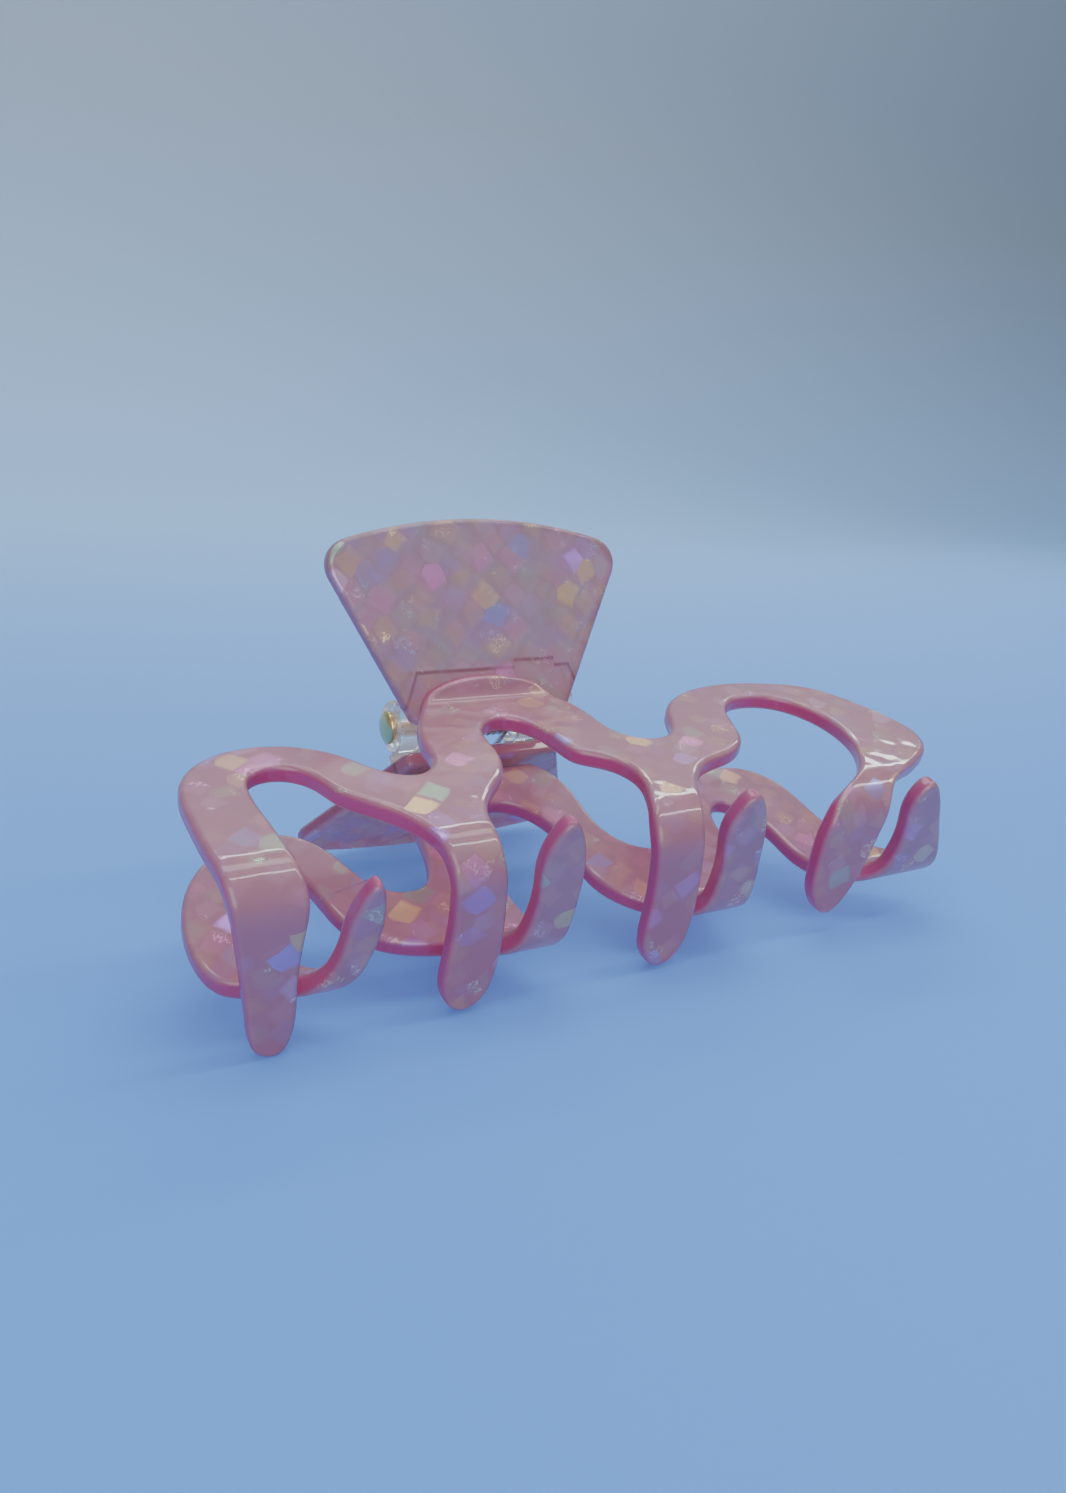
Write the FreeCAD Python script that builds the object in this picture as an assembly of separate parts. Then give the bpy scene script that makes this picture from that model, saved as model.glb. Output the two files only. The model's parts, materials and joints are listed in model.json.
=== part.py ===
"""Claw clip: two bent acetate jaws with interleaving teeth, two handles, and a sprung pin hinge.

The clip is drawn in the frame of its hinge and then laid down as it rests on a table.
  x  along the hinge pin
  u  from the pin towards the teeth, along the plane midway between the jaws
  v  square to that plane; the front half is on +v and the rear half on -v
Solids are made with -u as y and v as z, so that the frame is right-handed.
Each jaw is cut flat from sheet and then bent. Its outline is drawn flat, as points (x, s), where s runs
along the outer face: 0 at the bend under the handle, negative up the handle, positive towards the teeth.
"""
import FreeCAD
import Part

import math
import os

# ---- driving dimensions, mm and degrees ----
SHEET = 2.4                 # thickness of the acetate sheet, jaws and handles alike
EDGE_ROUND = 0.8            # radius left on the cut edges by tumbling

# bend profile of a jaw, outer face, in the order lip, handle bend, plate, fold, tooth
HANDLE_ANGLE = 120.0        # of lip and handle, measured from +u
PLATE_SLOPE = 3.7           # of the plate, away from the midway plane
TOOTH_LEAN = 4.0            # of a tooth, outwards from square to the midway plane
BEND_HEIGHT = 2.9           # of the handle bend above the level of the pin, along the handle
LIP_LENGTH = 4.0            # of sheet from the handle bend up the handle
PLATE_LENGTH = 29.4         # from the handle bend to the fold
TOOTH_LENGTH = 18.0         # of sheet past the fold, more than any tooth needs
HANDLE_BEND_RADIUS = 2.0    # on the outer face, which is the hollow side of this bend
FOLD_RADIUS = 5.5           # on the outer face, which is the round side of the fold

# hinge
KNUCKLE_RADIUS = 3.7
KNUCKLE_CHAMFER = 0.3
HINGE_LENGTH = 27.0
OUTER_KNUCKLE = 4.5         # width of each of the two front knuckles, at the ends
INNER_KNUCKLE = 4.2         # width of each of the two rear knuckles, inside them
SIDE_GAP = 0.2              # between neighbouring knuckles
WELD = 0.02                 # solvent-welded seam between a lip and its handle
HANDLE_GAP = 0.2            # from a handle's back to the other half's knuckles
LEAF_HEIGHT = 7.2           # of a leaf, up the back of its handle from level with the pin
LEAF_INNER = 2.4            # from the pin's axis to a leaf's inner face
LEAF_CORNER = 0.7
LEAF_CHAMFER = 0.35
LEAF_TAPER = 1.6            # each side, from the foot of a leaf to its top
NOTCH_HEIGHT = 3.3          # where a leaf's plate starts, clear of the other half's knuckles
TAB_LEFT = 3.0              # the front leaf has a tab on its top edge
TAB_RIGHT = 9.4
TAB_HEIGHT = 1.0
PANEL_BORDER = 1.1          # round the sunk panel of the rear leaf
PANEL_DEPTH = 0.4
PIN_RADIUS = 1.0
PIN_CLEARANCE = 0.05        # radial, of the pin in its knuckles
HEAD_RADIUS = 2.3
HEAD_HEIGHT = 1.2
HEAD_GAP = 0.05             # from a pin head to the knuckle beside it
WIRE_RADIUS = 0.4           # of the spring
COIL_RADIUS = 2.0           # of the spring, at the middle of its wire
COIL_TURNS = 8
COIL_PITCH = 0.94           # between turns
LEG_LENGTH = 6.2

# handle, in its own plane: x across, h up the handle from level with the pin
HANDLE_CENTRE = -0.8
HANDLE_FOOT = 0.0
HANDLE_CREST = 27.5
HANDLE_SHOULDER = 23.6      # height where the sides would meet the top arc
FOOT_HALF_WIDTH = 11.6
TOP_HALF_WIDTH = 23.4
CORNER_RADIUS = 3.6
FOOT_CORNER_RADIUS = 1.5

# ---- outlines of the jaws, flat ----
# shared by both: the lip in front of the handle, from the first neck to the band that falls from it
LIP = [(-14.8, 4.2), (-11.3, -0.9), (-7.1, -2.7), (-2.8, -3.1), (1.8, -2.7), (5.8, -1.2), (8.6, 2.4)]

FRONT_OUTLINE = [
    # left end, first arch, and the hollow before the first neck
    (-47.4, 20.0), (-46.6, 13.6), (-43.3, 9.2), (-37.5, 7.1), (-31.5, 8.2), (-27.2, 11.6), (-24.0, 15.8),
    (-20.6, 17.3), (-17.7, 15.0), (-16.6, 9.5), *LIP,
    # falling band, second neck and third arch
    (9.6, 7.0), (10.2, 11.5), (12.6, 14.3), (16.4, 14.5), (19.2, 12.0), (21.4, 7.8), (25.4, 3.8),
    (31.0, 1.4), (38.0, 0.7), (45.0, 1.8), (50.9, 4.4), (54.6, 9.8), (56.6, 15.8), (57.0, 20.6), (55.0, 25.0),
    # fourth tooth, slanting in
    (50.5, 28.2), (46.0, 30.4), (42.0, 32.8), (39.6, 38.0), (38.4, 43.7), (36.8, 48.0), (33.6, 51.2),
    (30.4, 48.5), (29.3, 43.0), (29.5, 37.8), (31.5, 33.6), (35.8, 30.6), (40.3, 26.9), (43.6, 22.4),
    # third bay
    (45.4, 16.5), (44.9, 11.0), (42.2, 7.0), (37.5, 5.7), (33.2, 7.0), (30.6, 10.2), (28.9, 14.4),
    (26.6, 18.4), (22.6, 20.9), (17.6, 22.6), (13.6, 26.0), (11.0, 30.5),
    # third tooth
    (9.6, 35.5), (9.9, 40.0), (10.3, 45.0), (9.9, 50.0), (8.2, 53.0), (5.9, 53.5), (4.0, 51.6), (3.4, 46.5),
    (3.2, 40.5), (2.7, 34.8), (3.8, 30.0),
    # second bay
    (5.9, 25.4), (6.4, 21.6), (4.6, 18.2), (1.9, 16.0), (0.9, 12.0), (-0.4, 7.6), (-3.0, 5.3),
    (-6.0, 6.2), (-7.9, 9.4), (-8.4, 14.0), (-10.3, 19.0), (-13.6, 22.8), (-16.2, 27.0),
    # second tooth
    (-17.0, 32.0), (-16.8, 37.5), (-16.4, 43.5), (-16.8, 49.6), (-18.3, 52.8), (-20.6, 53.6), (-22.6, 51.8),
    (-23.1, 47.5), (-22.8, 42.5), (-23.0, 38.0), (-23.6, 33.0),
    # first bay
    (-24.6, 28.2), (-27.2, 23.6), (-31.0, 18.8), (-32.8, 14.4), (-35.6, 12.5), (-38.8, 13.6),
    (-39.9, 17.2), (-39.6, 24.0), (-39.2, 30.5),
    # first tooth, the broadest
    (-38.7, 35.2), (-39.1, 40.0), (-39.5, 46.0), (-39.7, 51.4), (-41.1, 53.9), (-43.1, 53.6), (-44.4, 50.4),
    (-45.2, 44.5), (-46.2, 38.0), (-46.9, 32.0), (-47.3, 26.0),
]

REAR_OUTLINE = [
    # left end, first arch, and the hollow before the first neck
    (-47.6, 24.0), (-46.8, 17.5), (-43.8, 11.8), (-37.8, 7.8), (-32.2, 7.8), (-28.4, 11.4), (-26.2, 16.6),
    (-23.2, 20.4), (-19.6, 20.6), (-17.2, 17.2), (-16.0, 11.0), *LIP,
    # falling band, second neck and third arch
    (9.4, 7.4), (9.2, 13.2), (10.6, 17.8), (14.2, 20.4), (18.0, 19.6), (20.6, 16.0), (22.8, 11.4),
    (26.6, 7.8), (32.2, 6.0), (38.6, 5.8), (42.8, 8.8), (44.6, 14.4), (44.8, 20.5), (46.2, 25.4), (50.0, 28.2),
    # fourth tooth
    (53.4, 31.6), (53.8, 36.0), (52.2, 40.6), (49.8, 45.0), (47.6, 49.0), (44.8, 51.4), (42.8, 48.6),
    (43.6, 43.8), (43.8, 38.8), (41.8, 34.4), (38.2, 31.2), (35.4, 27.4), (34.8, 21.6),
    # third bay
    (33.6, 16.2), (30.8, 13.6), (28.2, 15.2), (26.6, 19.6), (24.4, 24.4), (21.8, 29.0),
    # third tooth
    (20.2, 33.5), (19.6, 38.5), (18.6, 44.0), (17.2, 49.6), (14.2, 53.6), (11.7, 50.0), (12.4, 44.5),
    (13.0, 39.0), (11.8, 34.4), (8.4, 31.0),
    # second bay
    (4.6, 27.4), (2.8, 22.8), (3.0, 17.6), (2.5, 12.8), (0.4, 8.8), (-3.0, 7.0), (-6.0, 8.2),
    (-7.7, 12.0), (-8.6, 17.0), (-9.4, 22.5), (-9.2, 28.0),
    # second tooth
    (-8.0, 33.0), (-7.3, 38.5), (-7.4, 44.0), (-8.4, 49.8), (-10.9, 53.6), (-13.2, 50.0), (-13.0, 44.0),
    (-13.2, 38.8), (-15.6, 33.4), (-20.0, 31.0),
    # first bay
    (-25.4, 29.2), (-29.6, 26.0), (-31.6, 21.0), (-33.0, 16.0), (-35.8, 13.4), (-38.6, 14.6),
    (-39.8, 18.8), (-39.2, 24.6), (-37.0, 29.4),
    # first tooth, a slim hook that rises beside the front one
    (-33.9, 34.0), (-31.7, 39.2), (-30.9, 44.6), (-32.2, 49.2), (-34.4, 45.6), (-35.2, 40.6),
    (-37.6, 35.4), (-41.4, 32.2), (-45.6, 30.0),
]


# ---- the bend profile ----
class Profile:
    """The outer face of a bent sheet in the plane (u, v), as straight and round stretches end to end."""

    STRAIGHT_STEP = 5.0     # spacing along s of the points that the swept surface passes through
    ROUND_STEP = 0.9

    def __init__(self, start, heading, s_start, stretches):
        """stretches: (length, radius), radius 0 for straight, positive for a turn to the left."""
        self.pieces = []
        u, v = start
        s = s_start
        for length, radius in stretches:
            self.pieces.append((s, u, v, heading, radius))
            u, v, heading = self.walk(u, v, heading, radius, length)
            s += length
        self.s_end = s

    @staticmethod
    def walk(u, v, heading, radius, length):
        """Where a walk of that length ends, and its heading there."""
        if radius == 0:
            return u + length * math.cos(heading), v + length * math.sin(heading), heading
        turned = heading + length / radius
        u += radius * (math.sin(turned) - math.sin(heading))
        v -= radius * (math.cos(turned) - math.cos(heading))
        return u, v, turned

    def at(self, s):
        """Point and heading at s."""
        s_piece, *piece = [p for p in self.pieces if p[0] <= s + 1e-9][-1]
        return self.walk(*piece, s - s_piece)

    def knots(self):
        """Values of s, closer together on round stretches than on straight ones."""
        ends = [piece[0] for piece in self.pieces[1:]] + [self.s_end]
        values = []
        for piece, end in zip(self.pieces, ends):
            step = self.STRAIGHT_STEP if piece[4] == 0 else self.ROUND_STEP
            count = max(4, math.ceil((end - piece[0]) / step))
            values += [piece[0] + (end - piece[0]) * k / count for k in range(count)]
        return values + [self.s_end]

    def surface(self, depth):
        """The face that lies at depth under the outer one, swept along x; its parameters are (s, x)."""
        points = []
        for s in self.knots():
            u, v, heading = self.at(s)
            points.append(FreeCAD.Vector(0, -(u + depth * math.sin(heading)), v - depth * math.cos(heading)))
        line = Part.BSplineCurve()
        line.interpolate(Points=points, Parameters=self.knots())
        return Part.SurfaceOfExtrusion(line, FreeCAD.Vector(1, 0, 0))


def handle_back():
    """Distance of a handle's back face from the pin's axis: clear of the other half's knuckles."""
    return KNUCKLE_RADIUS + HANDLE_GAP


def handle_plane(distance, height):
    """The point (u, v) at a height up the handle and a distance from the pin's axis, square to the handle."""
    up = math.radians(HANDLE_ANGLE)
    u = distance * math.sin(up) + height * math.cos(up)
    v = -distance * math.cos(up) + height * math.sin(up)
    return u, v


def jaw_profile():
    """Lip, handle bend, plate, fold and tooth; the lip's back lies on the front of the handle."""
    lip = math.radians(HANDLE_ANGLE + 180)
    plate = math.radians(360 + PLATE_SLOPE)
    tooth = math.radians(270 + TOOTH_LEAN)
    half_turn = (plate - lip) / 2
    half_bend = HANDLE_BEND_RADIUS * half_turn
    lip_flat = LIP_LENGTH - half_bend
    lip_top = BEND_HEIGHT + HANDLE_BEND_RADIUS * math.tan(half_turn) + lip_flat
    stretches = [
        (lip_flat, 0),
        (2 * half_bend, HANDLE_BEND_RADIUS),
        (PLATE_LENGTH - half_bend, 0),
        (FOLD_RADIUS * (plate - tooth), -FOLD_RADIUS),
        (TOOTH_LENGTH, 0),
    ]
    return Profile(handle_plane(handle_back() + 2 * SHEET + WELD, lip_top), lip, -LIP_LENGTH, stretches)


# ---- sheet pieces with rounded cut edges ----
EDGE_PIECES = 12            # the outline is divided into this many edges


def smooth_outline(points):
    """A closed curve through the points (x, s), in the parameters (s, x) of a swept surface."""
    curve = Part.Geom2d.BSplineCurve2d()
    curve.interpolate(Points=[FreeCAD.Base.Vector2d(s, x) for x, s in points], PeriodicFlag=True)
    return curve


def inset_outline(curve, inset):
    """The same curve with each of its points moved in, square to the curve; it runs clockwise in (s, x)."""
    knots = list(curve.getKnots())
    points = []
    for knot in knots[:-1]:
        point = curve.value(knot)
        along = curve.tangent(knot)
        step = inset / math.hypot(along.x, along.y)
        points.append(FreeCAD.Base.Vector2d(point.x + step * along.y, point.y - step * along.x))
    moved = Part.Geom2d.BSplineCurve2d()
    moved.interpolate(Points=points, PeriodicFlag=True, Parameters=knots)
    return moved


def outline_wire(curve, surface):
    """The curve laid on the surface, divided into edges."""
    first = curve.FirstParameter
    step = (curve.LastParameter - first) / EDGE_PIECES
    edges = []
    for k in range(EDGE_PIECES):
        piece = curve.copy()
        piece.segment(first + k * step, first + (k + 1) * step)
        edges.append(piece.toShape(surface))
    return Part.Wire(edges)


def rounded_rim():
    """(depth, inset) of the outline at each level through the sheet: a quarter round at each face."""
    rim = []
    for angle in (0, 45, 90):
        turn = math.radians(angle)
        rim.append((EDGE_ROUND * (1 - math.cos(turn)), EDGE_ROUND * (1 - math.sin(turn))))
    return rim + [(SHEET - depth, inset) for depth, inset in reversed(rim)]


def sheet_piece(profile, points):
    """The outline cut from the bent sheet, with its cut edges rounded."""
    outline = smooth_outline(points)
    faces = []
    wires = []
    for depth, inset in rounded_rim():
        surface = profile.surface(depth)
        wire = outline_wire(inset_outline(outline, inset), surface)
        if depth in (0, SHEET):
            faces.append(Part.Face(surface, wire))
        wires.append(wire)
    rim = Part.makeLoft(wires, False, False)
    shell = Part.makeShell(faces + rim.Faces)
    shell.sewShape()
    return Part.makeSolid(shell)


def jaw(points):
    """A jaw on the +v side."""
    return sheet_piece(jaw_profile(), points)



# ---- shapes drawn on a handle: x across, h up the handle, d away from the pin's axis ----
def stand_up(shape):
    """Turned from the plane of the handle to the hinge frame."""
    shape.rotate(FreeCAD.Vector(0, 0, 0), FreeCAD.Vector(1, 0, 0), 180 - HANDLE_ANGLE)
    return shape


def prism(points, bottom, top):
    """A plate with straight sides through the points (x, h), from d = bottom to d = top."""
    corners = [FreeCAD.Vector(x, h, bottom) for x, h in points]
    face = Part.Face(Part.makePolygon(corners + corners[:1]))
    return face.extrude(FreeCAD.Vector(0, 0, top - bottom))


def upright_edges(shape):
    """Edges square to the handle's plane."""
    return [e for e in shape.Edges if abs(e.tangentAt(e.FirstParameter).z) > 0.999]


def rim_edges(shape, d):
    """Edges that lie at the distance d."""
    return [e for e in shape.Edges if abs(e.BoundBox.ZMin - d) < 1e-4 and abs(e.BoundBox.ZMax - d) < 1e-4]


def handle():
    """A fan of sheet: straight flared sides, a gently arched top and rounded corners."""
    foot_left = FreeCAD.Vector(HANDLE_CENTRE - FOOT_HALF_WIDTH, HANDLE_FOOT, handle_back())
    foot_right = FreeCAD.Vector(HANDLE_CENTRE + FOOT_HALF_WIDTH, HANDLE_FOOT, handle_back())
    top_left = FreeCAD.Vector(HANDLE_CENTRE - TOP_HALF_WIDTH, HANDLE_SHOULDER, handle_back())
    top_right = FreeCAD.Vector(HANDLE_CENTRE + TOP_HALF_WIDTH, HANDLE_SHOULDER, handle_back())
    crest = FreeCAD.Vector(HANDLE_CENTRE, HANDLE_CREST, handle_back())
    outline = Part.Wire([
        Part.LineSegment(foot_left, foot_right).toShape(),
        Part.LineSegment(foot_right, top_right).toShape(),
        Part.Arc(top_right, crest, top_left).toShape(),
        Part.LineSegment(top_left, foot_left).toShape(),
    ])
    fan = Part.Face(outline).extrude(FreeCAD.Vector(0, 0, SHEET))
    corners = upright_edges(fan)
    fan = fan.makeFillet(CORNER_RADIUS, [e for e in corners if e.BoundBox.YMin > HANDLE_SHOULDER - 1])
    fan = fan.makeFillet(FOOT_CORNER_RADIUS, [e for e in upright_edges(fan) if e.BoundBox.YMax < HANDLE_FOOT + 1])
    rims = rim_edges(fan, handle_back()) + rim_edges(fan, handle_back() + SHEET)
    return stand_up(fan.makeFillet(EDGE_ROUND, rims))


# ---- hinge ----
def round_bar(profile):
    """A solid of revolution about the pin's axis, from its outline as points (x, radius)."""
    corners = [FreeCAD.Vector(x, radius, 0) for x, radius in profile]
    face = Part.Face(Part.makePolygon(corners + corners[:1]))
    return face.revolve(FreeCAD.Vector(0, 0, 0), FreeCAD.Vector(1, 0, 0), 360)


def knuckle(left, right):
    """A short tube with a bore for the pin and a small chamfer at each end."""
    bore = PIN_RADIUS + PIN_CLEARANCE
    return round_bar([
        (left, bore),
        (left, KNUCKLE_RADIUS - KNUCKLE_CHAMFER),
        (left + KNUCKLE_CHAMFER, KNUCKLE_RADIUS),
        (right - KNUCKLE_CHAMFER, KNUCKLE_RADIUS),
        (right, KNUCKLE_RADIUS - KNUCKLE_CHAMFER),
        (right, bore),
    ])


def outer_knuckles():
    """(left, right) of the two knuckles of the front half."""
    end = HINGE_LENGTH / 2
    return [(-end, -end + OUTER_KNUCKLE), (end - OUTER_KNUCKLE, end)]


def inner_knuckles():
    """(left, right) of the two knuckles of the rear half, inside the front ones."""
    start = HINGE_LENGTH / 2 - OUTER_KNUCKLE - SIDE_GAP
    return [(-start, -start + INNER_KNUCKLE), (start - INNER_KNUCKLE, start)]


def leaf(knuckles, top_edge, sunk):
    """A plate on the back of the handle, with an arm down to each of its knuckles."""
    end = HINGE_LENGTH / 2
    plate = prism([(-end, NOTCH_HEIGHT), (end, NOTCH_HEIGHT), *top_edge], LEAF_INNER, handle_back())
    plate = plate.makeFillet(LEAF_CORNER, [e for e in upright_edges(plate) if e.BoundBox.YMin > NOTCH_HEIGHT + 1])
    plate = plate.makeChamfer(LEAF_CHAMFER, [e for e in rim_edges(plate, LEAF_INNER) if e.BoundBox.YMin > 4])
    if sunk:
        half = end - LEAF_TAPER - PANEL_BORDER
        low = NOTCH_HEIGHT + PANEL_BORDER
        high = LEAF_HEIGHT - PANEL_BORDER
        panel = prism([(-half, low), (half, low), (half, high), (-half, high)], LEAF_INNER, LEAF_INNER + PANEL_DEPTH)
        plate = plate.cut(panel)
    body = plate
    for left, right in knuckles:
        arm = prism([(left, 0), (right, 0), (right, NOTCH_HEIGHT), (left, NOTCH_HEIGHT)], 0, handle_back())
        tube = Part.makeCylinder(
            KNUCKLE_RADIUS, right - left, FreeCAD.Vector(left, 0, 0), FreeCAD.Vector(1, 0, 0))
        bore = Part.makeCylinder(
            PIN_RADIUS + PIN_CLEARANCE, right - left, FreeCAD.Vector(left, 0, 0), FreeCAD.Vector(1, 0, 0))
        foot = prism([(left, 0), (right, 0), (right, NOTCH_HEIGHT), (left, NOTCH_HEIGHT)], LEAF_INNER, handle_back())
        arm = arm.common(tube).fuse(foot).cut(bore)
        body = body.fuse(arm).fuse(knuckle(left, right))
    return stand_up(body.removeSplitter())


def front_leaf():
    """The front leaf has the outer knuckles and a tab on its top edge."""
    half = HINGE_LENGTH / 2 - LEAF_TAPER
    top = LEAF_HEIGHT
    tab = LEAF_HEIGHT + TAB_HEIGHT
    edge = [(half, top), (TAB_RIGHT + 0.4, top), (TAB_RIGHT, tab), (TAB_LEFT, tab), (TAB_LEFT - 0.4, top), (-half, top)]
    return leaf(outer_knuckles(), edge, False)


def rear_leaf():
    """The rear leaf has the inner knuckles and a plain top edge round a sunk panel."""
    half = HINGE_LENGTH / 2 - LEAF_TAPER
    return leaf(inner_knuckles(), [(half, LEAF_HEIGHT), (-half, LEAF_HEIGHT)], True)


def pin():
    """A rod with a domed head at each end, spread after it was pushed through."""
    end = HINGE_LENGTH / 2 + HEAD_GAP
    rim = 0.35 * HEAD_HEIGHT
    steps = 6
    dome = []
    for k in range(steps + 1):
        turn = math.radians(90 * k / steps)
        dome.append((end + rim + (HEAD_HEIGHT - rim) * math.sin(turn), HEAD_RADIUS * math.cos(turn)))
    right = [(end, PIN_RADIUS), (end, HEAD_RADIUS), *dome[:-1], (end + HEAD_HEIGHT, 0)]
    left = [(-x, radius) for x, radius in reversed(right)]
    return round_bar(left + right)


def spring():
    """A torsion spring: a leg lies against each leaf, and the coil between them goes round the pin."""
    lean = HANDLE_ANGLE - 90
    turns = COIL_TURNS + 2 * lean / 360
    width = COIL_PITCH * turns
    path = Part.makeHelix(COIL_PITCH, width, COIL_RADIUS)
    section = Part.Wire(Part.makeCircle(WIRE_RADIUS, FreeCAD.Vector(COIL_RADIUS, 0, 0), FreeCAD.Vector(0, 1, 0)))
    coil = Part.Wire(path).makePipeShell([section], True, True)
    coil.rotate(FreeCAD.Vector(0, 0, 0), FreeCAD.Vector(1, 1, 1), 120)
    coil.rotate(FreeCAD.Vector(0, 0, 0), FreeCAD.Vector(1, 0, 0), 180 - lean)
    coil.translate(FreeCAD.Vector(-width / 2, 0, 0))
    away = COIL_RADIUS * math.cos(math.radians(lean))
    rise = COIL_RADIUS * math.sin(math.radians(lean))
    body = coil
    for side in (1, -1):
        foot = FreeCAD.Vector(-side * width / 2, -away, side * rise)
        up = FreeCAD.Vector(0, math.sin(math.radians(lean)), side * math.cos(math.radians(lean)))
        leg = Part.makeCylinder(WIRE_RADIUS, LEG_LENGTH, foot, up)
        joint = Part.makeSphere(WIRE_RADIUS + 0.01, foot)
        body = body.fuse(leg).fuse(joint)
    return body


# ---- assembly ----
def mirrored(shape):
    """The shape on the other side of the midway plane."""
    return shape.mirror(FreeCAD.Vector(0, 0, 0), FreeCAD.Vector(0, 0, 1))


def lowest(points, tilt):
    """Height of the lowest of the points once they are turned about the pin."""
    return min(y * math.sin(tilt) + z * math.cos(tilt) for y, z in points)


def resting_tilt(parts):
    """Turn about the pin at which the front teeth and the end of the rear handle touch the table together."""
    teeth = [(p.y, p.z) for p in parts["front_jaw"].tessellate(0.1)[0]]
    end = [(p.y, p.z) for p in parts["rear_handle"].tessellate(0.1)[0]]
    low = 0.0
    high = math.radians(45)
    for _ in range(40):
        tilt = (low + high) / 2
        if lowest(teeth, tilt) > lowest(end, tilt):
            low = tilt
        else:
            high = tilt
    return math.degrees(tilt)


def main():
    """Makes every piece, lays the clip down and writes one file for each piece."""
    parts = {
        "front_jaw": jaw(FRONT_OUTLINE),
        "rear_jaw": mirrored(jaw(REAR_OUTLINE)),
        "front_handle": handle(),
        "rear_handle": mirrored(handle()),
        "front_hinge_leaf": front_leaf(),
        "rear_hinge_leaf": mirrored(rear_leaf()),
        "hinge_pin": pin(),
        "hinge_spring": spring(),
    }
    tilt = resting_tilt(parts)
    box = FreeCAD.BoundBox()
    for shape in parts.values():
        shape.rotate(FreeCAD.Vector(0, 0, 0), FreeCAD.Vector(1, 0, 0), tilt)
        box.add(shape.optimalBoundingBox(False))
    base = FreeCAD.Vector(-box.Center.x, -box.Center.y, -box.ZMin)
    os.makedirs("parts", exist_ok=True)
    for name, shape in parts.items():
        shape.translate(base)
        kind = "solid" if shape.isValid() and len(shape.Solids) == 1 else "NOT ONE SOUND SOLID"
        print(f"{name}: {kind}, {shape.Volume:.1f} mm3")
        shape.exportStep(f"parts/{name}.step")
    print(f"rests {tilt:.2f} degrees down; pin at {base.x:.3f}, {base.y:.3f}, {base.z:.3f}")
    print(f"size {box.XLength:.2f} x {box.YLength:.2f} x {box.ZLength:.2f}")


main()
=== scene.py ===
"""Claw clip lying closed on its rear jaw: two bent acetate jaws, two handles and a clear sprung hinge.

The clip is described in the frame of its hinge, in millimetres: x along the pin, u from the pin towards the
teeth, v square to the plane midway between the jaws, positive on the front half. `world` lays it down.
"""

import json
import math

import bpy
import numpy as np
from mathutils import Matrix, Vector
from mathutils.geometry import delaunay_2d_cdt

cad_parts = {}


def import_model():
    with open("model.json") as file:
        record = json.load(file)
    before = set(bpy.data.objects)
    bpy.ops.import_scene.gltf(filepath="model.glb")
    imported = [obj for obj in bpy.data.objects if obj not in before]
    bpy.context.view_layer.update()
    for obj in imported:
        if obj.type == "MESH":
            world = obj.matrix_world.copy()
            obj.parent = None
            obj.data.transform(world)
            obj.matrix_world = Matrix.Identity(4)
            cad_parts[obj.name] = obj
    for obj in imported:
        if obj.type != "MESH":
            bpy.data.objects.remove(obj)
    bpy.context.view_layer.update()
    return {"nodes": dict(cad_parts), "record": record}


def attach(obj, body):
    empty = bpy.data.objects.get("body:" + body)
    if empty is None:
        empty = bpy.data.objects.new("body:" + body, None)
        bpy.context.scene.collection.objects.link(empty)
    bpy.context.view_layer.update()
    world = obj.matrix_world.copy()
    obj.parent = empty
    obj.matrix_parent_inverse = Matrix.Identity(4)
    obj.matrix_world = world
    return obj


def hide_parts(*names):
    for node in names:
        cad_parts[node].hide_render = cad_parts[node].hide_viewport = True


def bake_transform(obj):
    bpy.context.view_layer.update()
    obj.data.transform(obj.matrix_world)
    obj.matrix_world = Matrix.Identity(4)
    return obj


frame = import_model()


# ---- the jaws ----
# Each jaw is one sheet of cellulose acetate 2.4 mm thick. It is sawn flat, tumbled until its edges are round
# and bright, then warmed and bent over a former: lip, plate, fold, teeth. The lip is welded to the handle.
SHEET = 2.4                          # thickness of every acetate sheet
EDGE_ROUND = 0.8                     # radius of its tumbled edges
EDGE_STEP = 0.5                      # spacing of the points along an outline
HANDLE_ANGLE = math.radians(120)     # from the way the teeth point to the way a handle points
BACK = 3.9                           # from the pin's line to a handle's back
WELD = 0.02                          # film of solvent cement between lip and handle
LIP_LENGTH = 4.0
BEND_HEIGHT = 2.9                    # from the handle's foot line to the bend under the lip
BEND_RADIUS = 2.0
PLATE_LENGTH = 29.4
PLATE_HEADING = math.radians(363.7)  # the plate rises 3.7 degrees towards the teeth
FOLD_RADIUS = 5.5
TOOTH_HEADING = math.radians(274)    # the teeth lean in by 4 degrees
TOOTH_LENGTH = 20.0                  # longer than any tooth, whose outline ends it
REST_TILT = math.radians(15.91)      # the clip leans on its rear jaw
PIN = Vector(frame["record"]["behaviour"]["joints"][0]["pos_m"])

LIP = [(-14.8, 4.2), (-11.3, -0.9), (-7.1, -2.7), (-2.8, -3.1), (1.8, -2.7), (5.8, -1.2), (8.6, 2.4)]

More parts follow.
